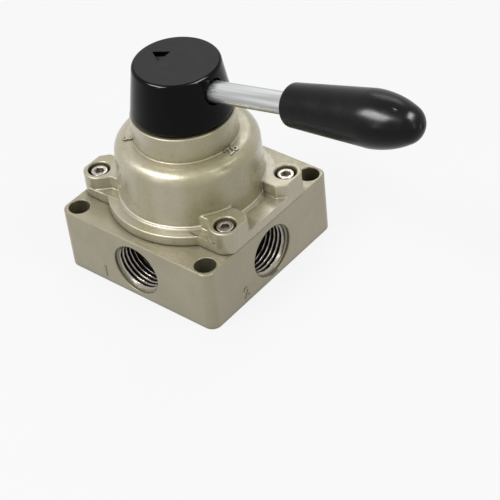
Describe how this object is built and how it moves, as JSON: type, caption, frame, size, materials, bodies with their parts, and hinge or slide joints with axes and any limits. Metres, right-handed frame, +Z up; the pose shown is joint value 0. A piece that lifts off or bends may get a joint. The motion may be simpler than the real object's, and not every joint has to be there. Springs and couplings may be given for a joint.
{
  "type": "manual air control valve",
  "caption": "Hand-lever rotary disc valve for compressed air: square ported block, domed cover with a round knob, and an angled lever with a grip.",
  "frame": {"origin": "centre of the block's flat mounting face", "axes": "+Z up along the spindle, +X the way the lever points in its middle position"},
  "size_m": [0.1402, 0.072, 0.1027],
  "materials": {
    "cast_paint_block": "satin metallic paint",
    "cast_paint_cover": "satin metallic paint",
    "plated_screw": "bright plated",
    "spring_steel": "oiled",
    "seal_rubber": "matte",
    "lapped_plate": "lapped",
    "pin_steel": "ground",
    "bush_bronze": "machined",
    "washer_plastic": "matte",
    "disc_aluminium": "lapped",
    "spindle_steel": "turned",
    "hub_zinc": "as cast",
    "ball_steel": "polished",
    "knob_plastic": "gloss side, fine matt top",
    "rod_steel": "satin plated",
    "insert_brass": "machined",
    "grip_plastic": "gloss"
  },
  "bodies": {
    "housing": {"valve_body": "cast_paint_block", "seat_plate": "lapped_plate", "seat_pins": "pin_steel", "port_seals": "seal_rubber", "cover_seal": "seal_rubber", "top_cover": "cast_paint_cover", "cover_screws": "plated_screw", "spring_washers": "spring_steel", "spindle_bush": "bush_bronze", "spindle_seal": "seal_rubber", "thrust_washer": "washer_plastic", "stop_pin": "pin_steel"},
    "rotor": {"rotary_disc": "disc_aluminium", "spindle": "spindle_steel", "drive_pin": "pin_steel", "disc_spring": "spring_steel", "lever_hub": "hub_zinc", "hub_washer": "pin_steel", "hub_screw": "pin_steel", "detent_balls": "ball_steel", "detent_springs": "spring_steel", "knob": "knob_plastic", "lever_rod": "rod_steel", "grip_insert": "insert_brass", "grip": "grip_plastic"}
  },
  "joints": [
    {"name": "lever_swing", "type": "hinge", "parent": "housing", "child": "rotor", "pos_m": [0, 0, 0], "axis": [0, 0, 1], "range_deg": [-45, 45]}
  ]
}
